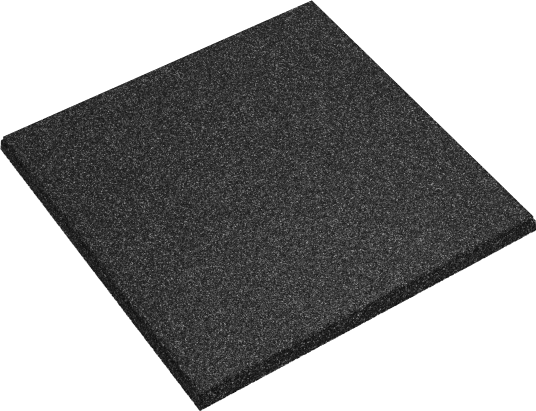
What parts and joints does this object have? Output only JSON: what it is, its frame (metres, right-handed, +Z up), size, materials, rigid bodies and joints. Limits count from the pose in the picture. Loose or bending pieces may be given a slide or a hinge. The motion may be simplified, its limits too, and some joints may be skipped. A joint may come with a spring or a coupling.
{
  "type": "rubber safety tile",
  "caption": "Square rubber granulate safety tile with a stepped edge, laid flat and bonded down to soften falls.",
  "frame": {"origin": "middle of the underside", "axes": "+Z up out of the tread face, X and Y along the sides"},
  "size_m": [0.4998, 0.4998, 0.025],
  "materials": {
    "granulate": "matt, open granular texture"
  },
  "bodies": {
    "root": {"rubber_tile": "granulate"}
  },
  "joints": []
}
